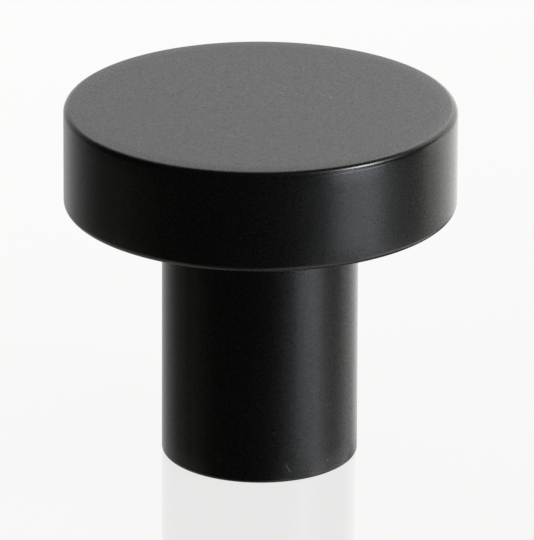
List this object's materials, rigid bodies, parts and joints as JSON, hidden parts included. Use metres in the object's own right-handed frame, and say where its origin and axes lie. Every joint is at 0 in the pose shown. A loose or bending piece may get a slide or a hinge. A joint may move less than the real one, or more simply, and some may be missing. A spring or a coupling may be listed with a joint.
{
  "type": "cabinet knob",
  "caption": "Round cabinet or drawer knob turned in one piece, a flat disc head on a thick straight stem with a tapped screw hole in its end.",
  "frame": {"origin": "centre of the flat end of the stem, the seat that meets the drawer or door front", "axes": "+Z along the stem from the seat to the face of the head; the knob is round, so +X and +Y are free"},
  "size_m": [0.03, 0.03, 0.028],
  "materials": {
    "black_coat": "satin black coat with a very fine grain over turned metal"
  },
  "bodies": {
    "root": {"knob_body": "black_coat"}
  },
  "joints": []
}
